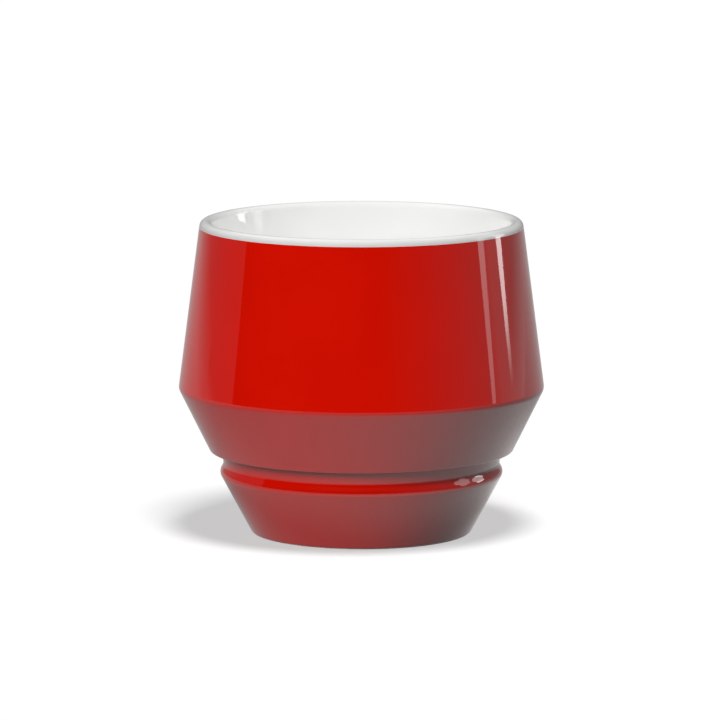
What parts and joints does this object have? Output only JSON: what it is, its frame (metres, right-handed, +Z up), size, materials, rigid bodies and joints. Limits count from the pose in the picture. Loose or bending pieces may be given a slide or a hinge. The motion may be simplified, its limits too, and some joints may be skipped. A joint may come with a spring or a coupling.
{
  "type": "cappuccino cup",
  "caption": "Handleless double-walled porcelain cappuccino cup, glossy red outside and white inside, with an angular belly, a stacking groove under the shoulder and a narrow foot.",
  "frame": {"origin": "centre of the foot ring, on the surface that the cup stands on", "axes": "+Z up along the axis of the cup, towards the mouth; the cup is round, so +X and +Y are any two square directions"},
  "size_m": [0.0864, 0.0864, 0.0743],
  "materials": {
    "porcelain": "fired and bare, fine matt grain",
    "slip": "fired and bare, matt",
    "white_glaze": "gloss",
    "red_glaze": "high gloss",
    "silicone": "satin, slightly milky"
  },
  "bodies": {
    "root": {"inner_cup": "porcelain", "outer_shell": "porcelain", "lip_joint": "slip", "white_liner_glaze": "white_glaze", "red_outer_glaze": "red_glaze", "base_glaze": "white_glaze", "vent_plug": "silicone"}
  },
  "joints": []
}
